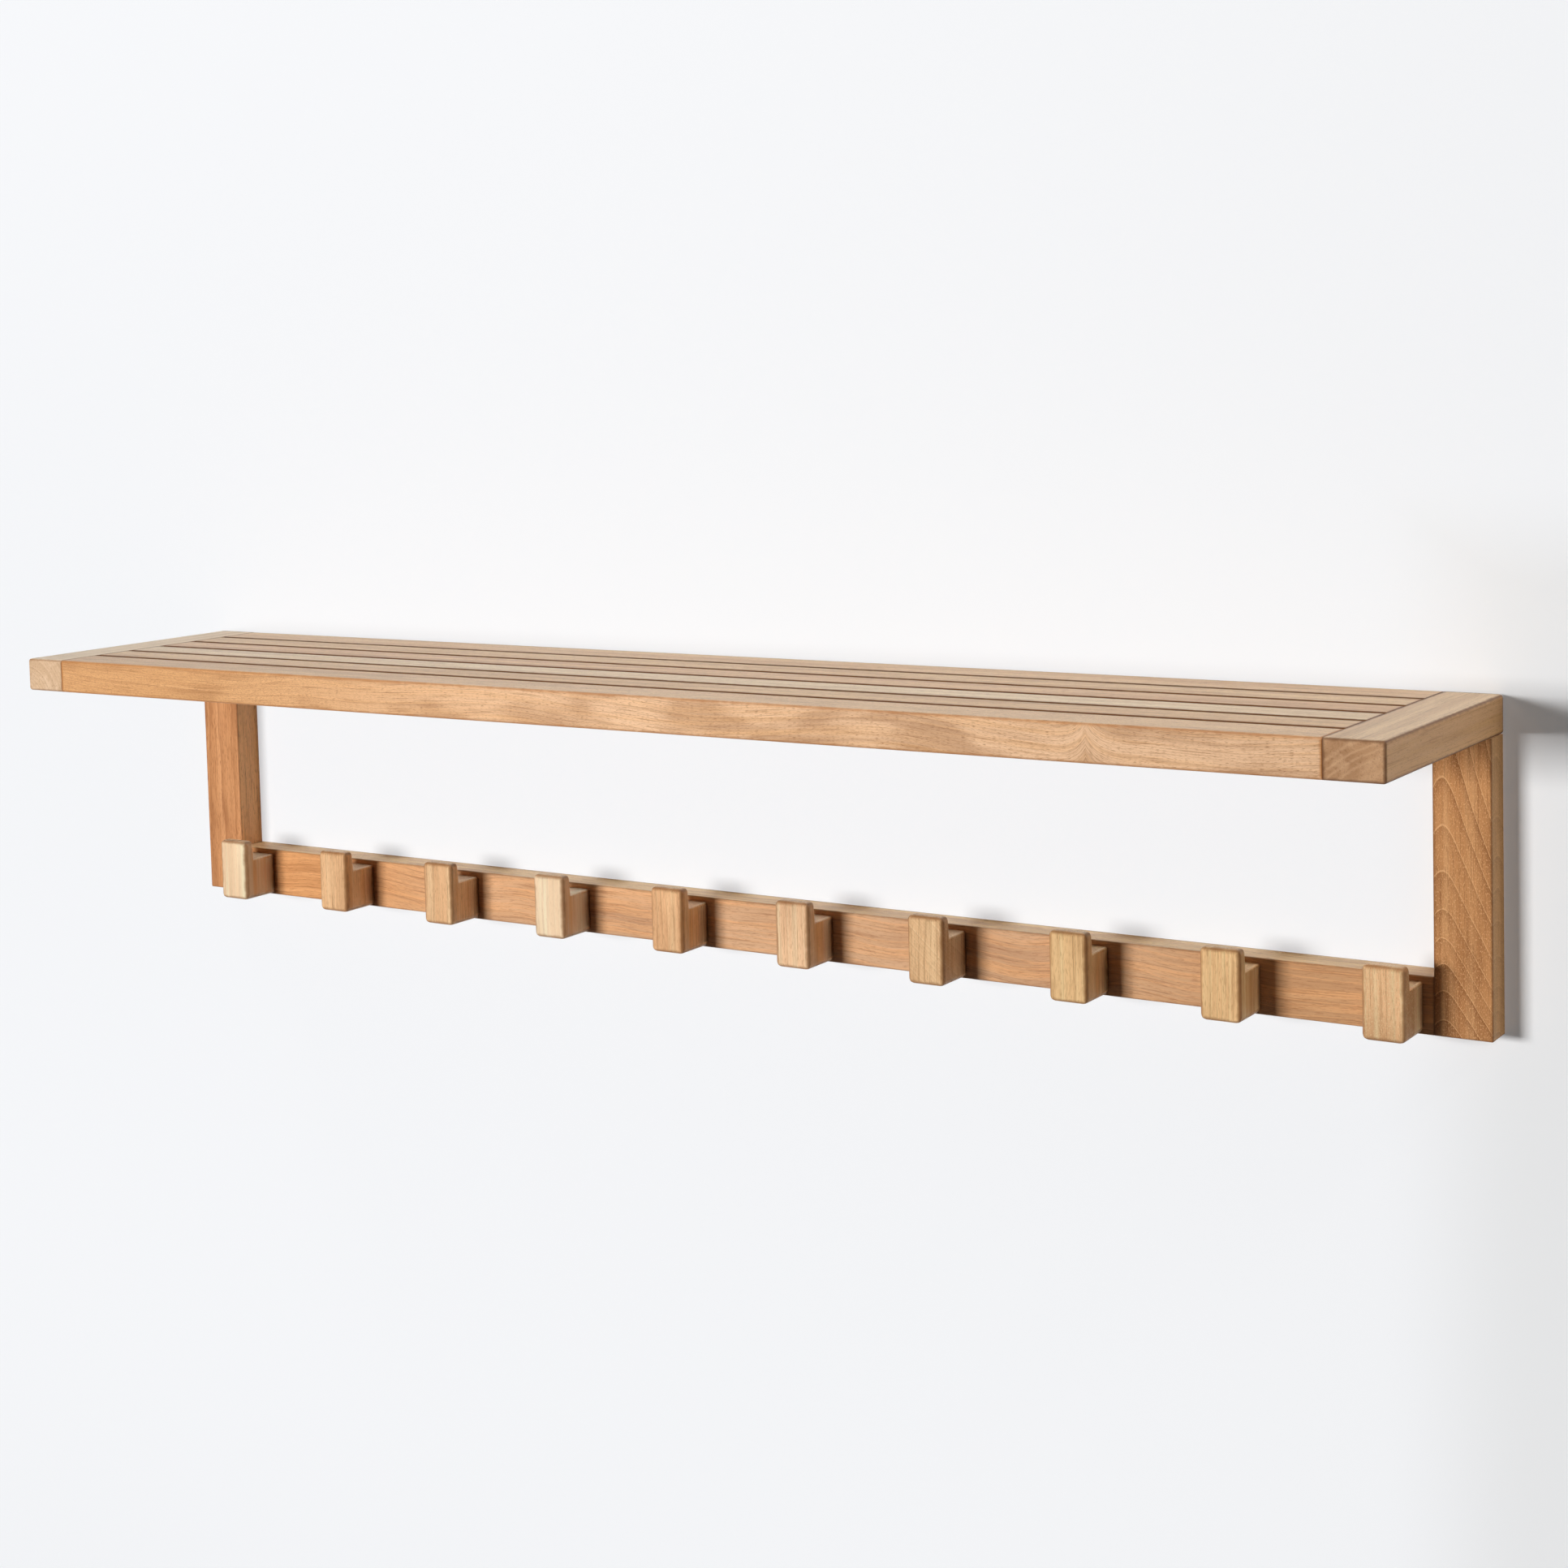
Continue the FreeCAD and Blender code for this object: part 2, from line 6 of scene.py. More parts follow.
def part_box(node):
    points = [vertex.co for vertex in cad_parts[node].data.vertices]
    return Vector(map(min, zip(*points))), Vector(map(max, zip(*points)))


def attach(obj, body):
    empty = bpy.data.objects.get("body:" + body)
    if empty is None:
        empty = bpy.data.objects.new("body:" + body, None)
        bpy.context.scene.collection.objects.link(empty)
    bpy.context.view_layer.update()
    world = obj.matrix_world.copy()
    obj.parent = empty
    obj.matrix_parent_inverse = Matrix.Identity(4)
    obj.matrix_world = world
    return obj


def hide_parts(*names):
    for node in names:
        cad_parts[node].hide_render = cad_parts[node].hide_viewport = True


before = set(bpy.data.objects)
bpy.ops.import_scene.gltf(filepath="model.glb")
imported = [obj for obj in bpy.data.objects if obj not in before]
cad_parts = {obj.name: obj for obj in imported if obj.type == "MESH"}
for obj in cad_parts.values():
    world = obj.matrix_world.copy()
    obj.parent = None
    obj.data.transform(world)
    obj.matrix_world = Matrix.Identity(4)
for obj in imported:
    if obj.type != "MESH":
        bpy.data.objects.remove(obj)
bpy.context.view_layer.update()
print("frame loaded:", len(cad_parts), "nodes")


def addObject(name, data):
    made = bpy.data.objects.new(name, data)
    bpy.context.scene.collection.objects.link(made)
    return made


# Camera, at the photograph's viewpoint

photo = {"width": 1932, "focal": 3231.84, "centreX": 966.0, "centreY": 659.2}  # pixels
viewpoint = {"place": (1.14845, -1.75279, 0.31122), "yaw": 32.7244, "pitch": -4.0109, "roll": -1.4595,
             "film": 36}  # metres, degrees, and the film's width in millimetres


def placeCamera():
    yaw, pitch, roll = (math.radians(viewpoint[key]) for key in ("yaw", "pitch", "roll"))
    ahead = Vector((-math.sin(yaw) * math.cos(pitch), math.cos(yaw) * math.cos(pitch), math.sin(pitch)))
    level = Vector((math.cos(yaw), math.sin(yaw), 0))
    upright = level.cross(ahead)
    right = math.cos(roll) * level + math.sin(roll) * upright
    up = math.cos(roll) * upright - math.sin(roll) * level
    data = bpy.data.cameras.new("camera")
    data.sensor_width = viewpoint["film"]
    data.lens = photo["focal"] / photo["width"] * data.sensor_width
    data.shift_x = 0.5 - photo["centreX"] / photo["width"]
    data.shift_y = photo["centreY"] / photo["width"] - 0.5
    camera = addObject("camera", data)
    camera.matrix_world = Matrix.Translation(viewpoint["place"]) @ Matrix((right, up, -ahead)).transposed().to_4x4()
    bpy.context.scene.camera = camera


placeCamera()
print("camera placed")


# Node helpers

def newGroup(name, inputs, outputs):
    tree = bpy.data.node_groups.new(name, "ShaderNodeTree")
    for label, kind, value in inputs:
        socket = tree.interface.new_socket(label, in_out="INPUT", socket_type="NodeSocket" + kind)
        socket.default_value = value
    for label, kind in outputs:
        tree.interface.new_socket(label, in_out="OUTPUT", socket_type="NodeSocket" + kind)
    return tree, tree.nodes.new("NodeGroupInput").outputs, tree.nodes.new("NodeGroupOutput").inputs


def newMaterial(name):
    material = bpy.data.materials.new(name)
    material.use_nodes = True
    tree = material.node_tree
    return material, tree, tree.nodes["Principled BSDF"]


def fill(tree, socket, value):
    if isinstance(value, bpy.types.NodeSocket):
        tree.links.new(value, socket)
    else:
        socket.default_value = value


def addNode(tree, kind, values=None, **settings):
    node = tree.nodes.new(kind if "Node" in kind else "ShaderNode" + kind)
    for label, value in settings.items():
        setattr(node, label, value)
    for label, value in (values or {}).items():
        fill(tree, node.inputs[label], value)
    return node


def work(tree, operation, *values):  # a Math node on numbers or sockets
    return addNode(tree, "Math", dict(enumerate(values)), operation=operation).outputs[0]


def span(tree, value, low, high, least=0.0, most=1.0):  # smooth step from low to high
    values = dict(enumerate((value, low, high, least, most)))
    return addNode(tree, "MapRange", values, interpolation_type="SMOOTHSTEP").outputs[0]


def solid(colour):
    return tuple(colour) + (1.0,)


def blendColour(tree, share, first, second, mode="MIX"):
    return addNode(tree, "Mix", {0: share, 6: first, 7: second}, data_type="RGBA", blend_type=mode).outputs[2]


def stretched(tree, vector, scale, seed):  # coordinates scaled per axis, moved by the seed
    scaled = addNode(tree, "VectorMath", {0: vector, 1: scale}, operation="MULTIPLY").outputs[0]
    return addNode(tree, "VectorMath", {0: scaled, 1: seed}, operation="ADD").outputs[0]


def noise(tree, vector, detail=2.0, roughness=0.5):
    values = {"Vector": vector, "Scale": 1.0, "Detail": detail, "Roughness": roughness}
    return addNode(tree, "TexNoise", values).outputs[0]


def centred(tree, value):  # a noise moved to lie about zero
    return work(tree, "SUBTRACT", value, 0.5)


# Wood figure: the pattern's X runs along the grain

def buildFlow():  # bends the grain up and down along the board, and round one knot
    tree, given, result = newGroup(
        "grainFlow",
        [("Vector", "Vector", (0, 0, 0)), ("Seed", "Float", 0), ("Sway", "Float", 0.004), ("Reach", "Float", 4.0),
         ("Knot Place", "Float", 0), ("Knot Width", "Float", 0.014), ("Knot Depth", "Float", 0)],
        [("Vector", "Vector")])
    along = addNode(tree, "SeparateXYZ", {0: given["Vector"]}).outputs[0]
    travelled = addNode(tree, "CombineXYZ", {0: work(tree, "MULTIPLY", along, given["Reach"]), 1: given["Seed"]})
    swing = centred(tree, noise(tree, travelled.outputs[0], 1.5))
    away = work(tree, "ABSOLUTE", work(tree, "SUBTRACT", along, given["Knot Place"]))
    dip = work(tree, "EXPONENT", work(tree, "MULTIPLY", work(tree, "DIVIDE", away, given["Knot Width"]), -1.0))
    lift = work(tree, "MULTIPLY_ADD", swing, given["Sway"], work(tree, "MULTIPLY", dip, given["Knot Depth"]))
    moved = addNode(tree, "VectorMath", {0: given["Vector"], 1: addNode(tree, "CombineXYZ", {2: lift}).outputs[0]},
                    operation="ADD")
    tree.links.new(moved.outputs[0], result["Vector"])
    return tree


ringShape = {"slow": (5, 22, 22), "quick": (30, 160, 160), "quickShare": 0.22,  # the two wavers of a ring
             "beat": 1.3, "leastShade": 0.4, "lateRise": 3.0}


def buildRings():  # growth rings round the heart of the log, as seen from the heart
    tree, given, result = newGroup(
        "growthRings",
        [("Vector", "Vector", (0, 0, 0)), ("Seed", "Float", 0), ("Ring Width", "Float", 0.004),
         ("Waver", "Float", 0.004), ("Taper", "Float", 0.0), ("Curve", "Float", 0.0), ("Uneven", "Float", 0.5),
         ("Line", "Float", 0.12)],
        [("Early Line", "Float"), ("Late Shade", "Float")])
    along, across, through = addNode(tree, "SeparateXYZ", {0: given["Vector"]}).outputs
    slow, quick = (noise(tree, stretched(tree, given["Vector"], ringShape[key], given["Seed"]))
                   for key in ("slow", "quick"))
    sway = work(tree, "MULTIPLY_ADD", centred(tree, quick), ringShape["quickShare"], centred(tree, slow))
    reach = work(tree, "SQRT", work(tree, "ADD", work(tree, "MULTIPLY", across, across),
                                    work(tree, "MULTIPLY", through, through)))
    lean = work(tree, "MULTIPLY", along, work(tree, "MULTIPLY_ADD", along, given["Curve"], given["Taper"]))
    radius = work(tree, "ADD", work(tree, "MULTIPLY_ADD", sway, given["Waver"], reach), lean)
    count = work(tree, "DIVIDE", radius, given["Ring Width"])
    beat = work(tree, "SINE", work(tree, "MULTIPLY_ADD", count, ringShape["beat"], given["Seed"]))
    phase = work(tree, "MULTIPLY_ADD", beat, given["Uneven"], count)
    part = work(tree, "FRACT", phase)
    tone = addNode(tree, "TexWhiteNoise", {"W": work(tree, "ADD", work(tree, "FLOOR", phase), given["Seed"])},
                   noise_dimensions="1D").outputs[0]
    depth = work(tree, "MULTIPLY_ADD", tone, 1 - ringShape["leastShade"], ringShape["leastShade"])
    start = work(tree, "SUBTRACT", 1.0, given["Line"])
    middle = work(tree, "MULTIPLY_ADD", given["Line"], -0.5, 1.0)
    line = work(tree, "MULTIPLY", span(tree, part, start, middle), span(tree, part, middle, 1.0, 1.0, 0.0))
    tree.links.new(line, result["Early Line"])
    rise = work(tree, "POWER", part, ringShape["lateRise"])
    shade = work(tree, "MULTIPLY", rise, span(tree, part, start, middle, 1.0, 0.0))
    tree.links.new(work(tree, "MULTIPLY", shade, depth), result["Late Shade"])
    return tree


fibreShape = {  # scales along, across and through the grain; a span makes the noise a mask
    "Streak": {"scale": (3.5, 110, 110), "detail": 3.0, "roughness": 0.6},
    "Fibre": {"scale": (16, 800, 800), "detail": 3.0, "roughness": 0.62},
    "Pore": {"scale": (170, 2400, 2400), "detail": 1.0, "roughness": 0.5, "span": (0.58, 0.68)},
    "Fleck": {"scale": (650, 1500, 1500), "detail": 2.0, "roughness": 0.6, "span": (0.52, 0.66)},
    "Cloud": {"scale": (8, 30, 30), "detail": 2.0, "roughness": 0.5},
}


def buildFibres():
    tree, given, result = newGroup(
        "woodFibres",
        [("Vector", "Vector", (0, 0, 0)), ("Seed", "Float", 0), ("Fineness", "Float", 1.0)],
        [(label, "Float") for label in fibreShape])
    place = addNode(tree, "VectorMath", {0: given["Vector"], "Scale": given["Fineness"]}, operation="SCALE").outputs[0]
    for label, shape in fibreShape.items():
        mask = noise(tree, stretched(tree, place, shape["scale"], given["Seed"]), shape["detail"], shape["roughness"])
        if "span" in shape:
            mask = span(tree, mask, *shape["span"])
        tree.links.new(mask, result[label])
    return tree


edgeShape = {"waves": (140, 140, 140), "least": 0.4, "range": 1.2}  # how the width of a darkened edge wanders


def buildEdges():  # distance over a box's surface to its nearest edge is the middle one of three distances
    tree, given, result = newGroup(
        "edgeWearAndShade",
        [("Vector", "Vector", (0, 0, 0)), ("Low", "Vector", (0, 0, 0)), ("High", "Vector", (1, 1, 1)),
         ("Width", "Float", 0.002), ("Joint Width", "Float", 0.0009), ("Seed", "Float", 0)],
        [("Edge", "Float"), ("Joint", "Float")])
    fromLow = addNode(tree, "VectorMath", {0: given["Vector"], 1: given["Low"]}, operation="SUBTRACT").outputs[0]
    fromHigh = addNode(tree, "VectorMath", {0: given["High"], 1: given["Vector"]}, operation="SUBTRACT").outputs[0]
    nearest = addNode(tree, "VectorMath", {0: fromLow, 1: fromHigh}, operation="MINIMUM").outputs[0]
    x, y, z = addNode(tree, "SeparateXYZ", {0: nearest}).outputs
    least, most, total = (work(tree, operation, x, work(tree, operation, y, z))
                          for operation in ("MINIMUM", "MAXIMUM", "ADD"))
    middle = work(tree, "SUBTRACT", work(tree, "SUBTRACT", total, least), most)
    wander = noise(tree, stretched(tree, given["Vector"], edgeShape["waves"], given["Seed"]))
    reach = work(tree, "MULTIPLY", given["Width"],
                 work(tree, "MULTIPLY_ADD", wander, edgeShape["range"], edgeShape["least"]))
    tree.links.new(span(tree, middle, 0.0, reach, 1.0, 0.0), result["Edge"])
    tree.links.new(span(tree, x, 0.0, given["Joint Width"], 1.0, 0.0), result["Joint"])
    return tree


flowGroup = buildFlow()
ringGroup = buildRings()
fibreGroup = buildFibres()
edgeGroup = buildEdges()

grainTurns = {"x": (0, 0, 0), "y": (0, 0, -math.pi / 2), "z": (0, math.pi / 2, 0)}  # turn the grain to X

teak = {
    "base": (0.62, 0.31, 0.125), "darkness": (0.42, 0.31, 0.24), "paleness": (1.27, 1.37, 1.5),
    "far": None, "farSpan": (-0.3, 0.3), "last": None, "lastSpan": (0.25, 0.45),
    "heart": (0, 0.12, -0.15), "seed": 0.0, "ringWidth": 0.004, "waver": 0.006, "taper": 0.01, "curve": 0.0,
    "uneven": 0.5, "line": 0.3, "sway": 0.008, "reach": 5.0, "knot": (0, 0.014, 0), "fineness": 1.0,
    "late": 0.48, "early": 0.30, "streak": 0.50, "fibre": 0.36, "pore": 0.55, "fleck": 0.0, "cloud": 0.30,
    "fleckSpan": None, "darkFlecks": False,
    "edge": 0.5, "edgeWidth": 0.002, "edgeColour": (0.36, 0.15, 0.055),
    "joint": 0.0, "roughness": 0.55, "gloss": 0.35, "coat": 0.05, "topCoat": 0.45, "coatRoughness": 0.4,
    # top and side: shares of painted light, tops painted lighter and sides lighter or darker for how the lamps fall on
    # them
    "top": 0.8, "topPaintedLight": (0.70, 0.44, 0.26), "side": 0.0, "sidePaintedLight": (0.40, 0.24, 0.12), "relief": 0.00012,
}
teakMasks = {"upward": (0.7, 0.98), "paintedSide": (0.6, 0.95), "cloud": (0.43, 0.66), "streak": (0.46, 0.68),
             "fibre": (0.50, 0.70), "worn": (0.36, 0.62)}  # where each mask begins and where it is full
teakSurface = {"palest": 0.9, "wornFilm": 0.55, "wornCheek": 0.6, "poresByFlecks": 0.6,  # shares of a full tone
               "fibreRoughness": 0.16, "poreDepth": -0.8, "bump": 0.6}


def teakMaterial(name, finish, low, high, grain):
    look = dict(teak, **finish)
    material, tree, shader = newMaterial(name)
    place = addNode(tree, "TexCoord").outputs["Object"]
    turned = addNode(tree, "Mapping", {"Vector": place, "Rotation": grainTurns[grain]}).outputs[0]
    knotPlace, knotWidth, knotDepth = look["knot"]
    flowing = addNode(tree, "Group", {
        "Vector": turned, "Seed": look["seed"], "Sway": look["sway"], "Reach": look["reach"],
        "Knot Place": knotPlace, "Knot Width": knotWidth, "Knot Depth": knotDepth}, node_tree=flowGroup).outputs[0]
    heart = Euler(grainTurns[grain]).to_matrix() @ Vector(look["heart"])
    fromHeart = addNode(tree, "Mapping", {"Vector": flowing, "Location": -heart}).outputs[0]
    rings = addNode(tree, "Group", {
        "Vector": fromHeart, "Seed": look["seed"], "Ring Width": look["ringWidth"], "Waver": look["waver"],
        "Taper": look["taper"], "Curve": look["curve"], "Uneven": look["uneven"], "Line": look["line"]},
        node_tree=ringGroup).outputs
    fibres = addNode(tree, "Group", {"Vector": flowing, "Seed": look["seed"], "Fineness": look["fineness"]},
                     node_tree=fibreGroup).outputs
    edges = addNode(tree, "Group", {"Vector": place, "Low": low, "High": high, "Width": look["edgeWidth"],
                                    "Seed": look["seed"]}, node_tree=edgeGroup).outputs
    along = addNode(tree, "SeparateXYZ", {0: turned}).outputs[0]
    rightward, _, facing = addNode(tree, "SeparateXYZ", {0: addNode(tree, "NewGeometry").outputs["Normal"]}).outputs
    upward = span(tree, facing, *teakMasks["upward"])  # painted light: what faces up takes a lighter top tone, for the light and sheen that tops catch, and a thicker coat

    def toned(colour, tones):
        return solid(min(part * tone, teakSurface["palest"]) for part, tone in zip(colour, tones))

    def strength(mask, key):
        return work(tree, "MULTIPLY", mask, look[key])

    def masked(label, key):
        return strength(span(tree, fibres[label], *teakMasks[key]), key)

    def worn(mask, least, most):  # painted top or side light, weaker or stronger along the streaks
        return work(tree, "MULTIPLY", mask, span(tree, fibres["Streak"], *teakMasks["worn"], least, most))

    dark, pale = toned(look["base"], look["darkness"]), toned(look["base"], look["paleness"])
    # far and last: tones blended in along the grain; on the front rail the far tone is painted light
    layers = [(span(tree, along, *look[key + "Span"]), solid(look[key])) for key in ("far", "last") if look[key]]
    # the last layer here is painted light: the top tone laid on what faces up, weaker along the streaks
    layers += [(masked("Cloud", "cloud"), dark), (masked("Streak", "streak"), pale),
               (strength(rings["Late Shade"], "late"), dark), (strength(rings["Early Line"], "early"), pale),
               (worn(strength(upward, "top"), teakSurface["wornFilm"], 1.0), solid(look["topPaintedLight"]))]
    if look["side"]:  # painted light and shade: the faces turned left or right take their own lighter or darker tone
        paintedSide = strength(span(tree, work(tree, "ABSOLUTE", rightward), *teakMasks["paintedSide"]), "side")
        layers.append((worn(paintedSide, 1.0, teakSurface["wornCheek"]), solid(look["sidePaintedLight"])))
    layers.append((masked("Fibre", "fibre"), dark))
    pores, flecks = strength(fibres["Pore"], "pore"), strength(fibres["Fleck"], "fleck")
    if look["fleckSpan"]:  # flecks at one end of the board, pores at the other
        change = span(tree, along, *look["fleckSpan"])
        least = teakSurface["poresByFlecks"]
        pores = work(tree, "MULTIPLY", pores, work(tree, "MULTIPLY_ADD", change, 1 - least, least))
        flecks = work(tree, "MULTIPLY", flecks, work(tree, "SUBTRACT", 1.0, change))
    layers.append((pores, dark))
    if look["fleck"]:
        layers.append((flecks, dark if look["darkFlecks"] else pale))
    # the dark rims are partly the wood's own darker edges and partly painted shade, where rounded edges turn from the
    # light and in the gaps between slats
    rim = strength(edges["Edge"], "edge")
    layers.append((rim, solid(look["edgeColour"])))
    if look["joint"]:
        layers.append((strength(edges["Joint"], "joint"), solid(look["edgeColour"])))
    colour = solid(look["base"])
    for share, tint in layers:
        colour = blendColour(tree, share, colour, tint)
    tree.links.new(colour, shader.inputs["Base Color"])

    uneven = teakSurface["fibreRoughness"]
    rough = work(tree, "MULTIPLY_ADD", fibres["Fibre"], uneven, look["roughness"] - uneven / 2)
    tree.links.new(rough, shader.inputs["Roughness"])
    shader.inputs["Specular IOR Level"].default_value = look["gloss"]
    coat = work(tree, "MULTIPLY_ADD", upward, look["topCoat"] - look["coat"], look["coat"])
    tree.links.new(work(tree, "MULTIPLY", coat, work(tree, "SUBTRACT", 1.0, rim)),  # worn off at the rims
                   shader.inputs["Coat Weight"])
    shader.inputs["Coat Roughness"].default_value = look["coatRoughness"]
    height = work(tree, "MULTIPLY_ADD", fibres["Pore"], teakSurface["poreDepth"], fibres["Fibre"])
    bump = addNode(tree, "Bump", {"Height": height, "Strength": teakSurface["bump"], "Distance": look["relief"]})
    tree.links.new(bump.outputs[0], shader.inputs["Normal"])
    return material


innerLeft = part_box("end_board_left")[1].x
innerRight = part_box("end_board_right")[0].x


def dress(node, material):
    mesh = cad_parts[node].data
    mesh.materials.clear()
    mesh.materials.append(material)


def finishWood(node, look, grain, trimmed=False):
    low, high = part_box(node)
    if trimmed:  # leave the tenons out of the board's visible box
        low.x = innerLeft
        high.x = innerRight
    dress(node, teakMaterial(node + "_teak", look, low, high, grain))


frontRail = {
    # the far tone is painted light: the rail is painted lighter towards the right, where the key lamp's light falls
    # off
    "seed": 3.0, "base": (0.655, 0.355, 0.16), "far": (0.86, 0.56, 0.345), "farSpan": (-0.45, 0.05),
    "heart": (0, -0.17, -0.12), "ringWidth": 0.0028, "waver": 0.010, "taper": 0.02, "sway": 0.05, "reach": 3.2,
    "knot": (0.398, 0.008, -0.0135), "late": 0.8, "early": 0.25,
    "fleck": 0.5, "darkFlecks": True, "fleckSpan": (-0.33, -0.12),
    "pore": 0.65, "cloud": 0.42, "fibre": 0.5, "fineness": 1.5, "topPaintedLight": (0.88, 0.62, 0.36), "joint": 0.45,
    "edge": 0.85, "edgeWidth": 0.0026, "edgeColour": (0.46, 0.18, 0.05),
}
finishWood("front_rail", frontRail, "x", trimmed=True)

slats = [
    {"seed": 11.0, "base": (0.55, 0.30, 0.13), "topPaintedLight": (0.90, 0.63, 0.36)},
    {"seed": 12.0, "base": (0.66, 0.40, 0.19), "topPaintedLight": (0.97, 0.80, 0.56)},
    {"seed": 13.0, "base": (0.56, 0.28, 0.12), "topPaintedLight": (0.87, 0.60, 0.35)},
    {"seed": 14.0, "base": (0.55, 0.28, 0.12), "topPaintedLight": (0.88, 0.64, 0.37)},
]
slatFigure = {"heart": (0, -0.1, -0.12), "ringWidth": 0.005, "joint": 0.9, "sway": 0.02, "edge": 0.95,
              "edgeWidth": 0.0026, "edgeColour": (0.18, 0.055, 0.013)}
for number, slat in enumerate(slats, start=1):
    finishWood("slat_%d" % number, dict(slatFigure, **slat), "x", trimmed=True)

backRail = {"seed": 21.0, "base": (0.60, 0.32, 0.15), "topPaintedLight": (0.88, 0.64, 0.39), "joint": 0.9, "edge": 0.9,
            "edgeColour": (0.13, 0.055, 0.025)}
finishWood("back_rail", backRail, "x", trimmed=True)

endBoards = {
    "left": {"seed": 31.0, "base": (0.61, 0.415, 0.26), "heart": (-0.603, 0, 0.030), "ringWidth": 0.0046,
             "late": 1.0, "early": 0.3, "line": 0.35, "waver": 0.003, "sway": 0.003, "taper": 0.004, "pore": 0.25,
             "topPaintedLight": (0.92, 0.72, 0.48), "edge": 0.85, "edgeWidth": 0.0022, "edgeColour": (0.30, 0.14, 0.06)},
    "right": {"seed": 32.0, "base": (0.52, 0.296, 0.155), "heart": (0.628, 0, -0.03), "ringWidth": 0.0068,
              "late": 0.7, "early": 0.5, "line": 0.65, "waver": 0.004, "sway": 0.006, "pore": 0.3,
              "topPaintedLight": (0.86, 0.63, 0.38), "edge": 0.95, "edgeWidth": 0.0028,
              "edgeColour": (0.15, 0.06, 0.025), "side": 0.75, "sidePaintedLight": (0.67, 0.395, 0.18)},
}
for side, look in endBoards.items():
    finishWood("end_board_" + side, look, "y")

uprights = {
    "left": {"seed": 41.0, "base": (0.60, 0.285, 0.125), "darkness": (0.36, 0.24, 0.17), "heart": (-0.52, 0.05, 0),
             "ringWidth": 0.013, "waver": 0.016, "line": 0.2, "cloud": 0.85, "late": 0.95, "early": 0.2,
             "edgeColour": (0.30, 0.12, 0.045), "side": 0.7, "sidePaintedLight": (0.98, 0.52, 0.20)},
    "right": {"seed": 42.0, "base": (0.585, 0.28, 0.112), "darkness": (0.34, 0.24, 0.18),
              "paleness": (1.45, 1.75, 2.1), "heart": (0.566, -0.018, 0), "ringWidth": 0.0105, "taper": 0.30,
              "curve": -1.0, "waver": 0.004, "sway": 0.0, "uneven": 0.12, "line": 0.075, "late": 0.85, "early": 0.75,
              "streak": 0.3, "fibre": 0.4, "pore": 0.3, "fleck": 0.6, "cloud": 0.4,
              "side": 0.9, "sidePaintedLight": (0.50, 0.30, 0.14), "edgeColour": (0.17, 0.065, 0.022), "edge": 0.7},
}
for side, look in uprights.items():
    finishWood("upright_" + side, look, "z")

hookRail = {
    "seed": 51.0, "base": (0.70, 0.34, 0.14), "far": (0.69, 0.425, 0.25), "farSpan": (-0.5, -0.2),
    "last": (0.60, 0.335, 0.17), "lastSpan": (0.25, 0.48),
    "heart": (0, 0.12, -0.28), "ringWidth": 0.0045, "sway": 0.03, "reach": 7.0, "waver": 0.012,
    "late": 0.5, "fibre": 0.45, "pore": 0.35, "top": 0.95, "topPaintedLight": (0.98, 0.73, 0.40), "joint": 0.8,
    "edgeColour": (0.22, 0.09, 0.035),
}
finishWood("hook_rail", hookRail, "x", trimmed=True)

# the darker side colours of hooks 7, 9 and 10 are painted shade on their right sides
hooks = [  # left to right
    {"base": (0.880, 0.640, 0.410), "late": 0.2, "fibre": 0.25, "pore": 0.15},
    {"base": (0.764, 0.466, 0.248)},
    {"base": (0.794, 0.482, 0.258), "fleck": 0.15},
    {"base": (0.850, 0.625, 0.410), "late": 0.25, "fibre": 0.25, "pore": 0.15},
    {"base": (0.861, 0.514, 0.273)},
    {"base": (0.881, 0.569, 0.338), "late": 0.7, "ringWidth": 0.009},
    {"base": (0.764, 0.487, 0.261), "sidePaintedLight": (0.45, 0.20, 0.06), "fleck": 0.3, "taper": 0.9,
     "ringWidth": 0.0035, "early": 0.5},
    {"base": (0.820, 0.533, 0.266), "late": 0.6},
    {"base": (0.970, 0.637, 0.324), "sidePaintedLight": (0.38, 0.17, 0.045)},
    {"base": (0.933, 0.574, 0.307), "sidePaintedLight": (0.26, 0.10, 0.025), "fleck": 0.4, "cloud": 0.5},
]
hookFigure = {"sway": 0.006, "reach": 12.0, "ringWidth": 0.0055, "waver": 0.003, "late": 0.5, "early": 0.2,
              "line": 0.25, "fibre": 0.58, "pore": 0.45, "top": 0.9, "topPaintedLight": (0.94, 0.73, 0.47),
              "edge": 0.95, "edgeWidth": 0.004, "edgeColour": (0.30, 0.125, 0.04),
              "side": 0.75, "sidePaintedLight": (0.70, 0.30, 0.075)}
hookLog = {"firstSeed": 60.0, "seedStep": 3, "toLeft": 0.09, "inFront": -0.13}  # where each hook's heart lies
hookShape = {"lipTop": 0.0097, "lipFoot": 0.0112, "seat": 0.036, "round": 0.0044, "segments": 5,
             "corner": 1.0, "nose": 0.75, "lip": 0.5, "seatEdge": 0.45}  # the last four are shares of the round


